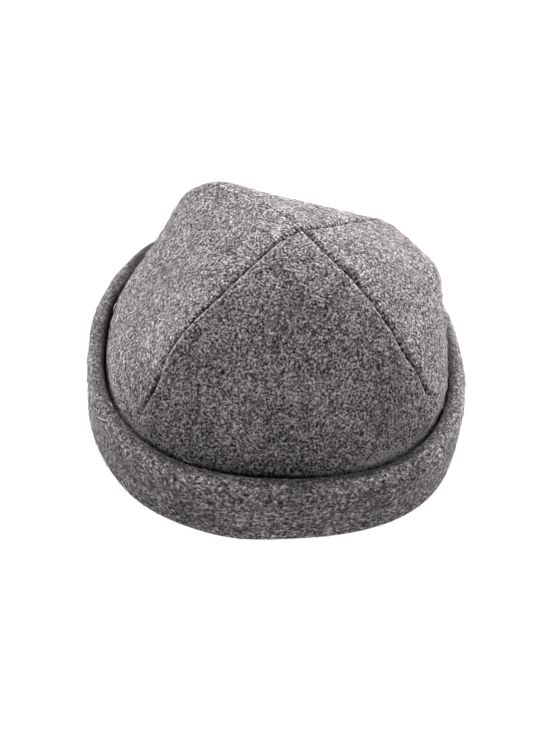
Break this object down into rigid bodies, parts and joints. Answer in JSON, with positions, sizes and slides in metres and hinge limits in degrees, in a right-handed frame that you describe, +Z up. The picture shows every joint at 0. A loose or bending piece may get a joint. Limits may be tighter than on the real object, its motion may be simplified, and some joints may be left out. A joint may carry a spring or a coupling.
{
  "type": "sauna hat",
  "caption": "Grey wool felt sauna hat: a soft crown with crossing seams inside a folded, turned-up cuff.",
  "frame": {"origin": "centre of the oval rim, at the level the hat rests on", "axes": "+Z up through the crown, -Y towards the front of the hat, +X to the right of someone facing it"},
  "size_m": [0.1952, 0.2274, 0.1087],
  "materials": {
    "felt": "thick heather-grey felted wool, matt, with stray light hairs"
  },
  "bodies": {
    "root": {"crown": "felt", "cuff": "felt"}
  },
  "joints": []
}
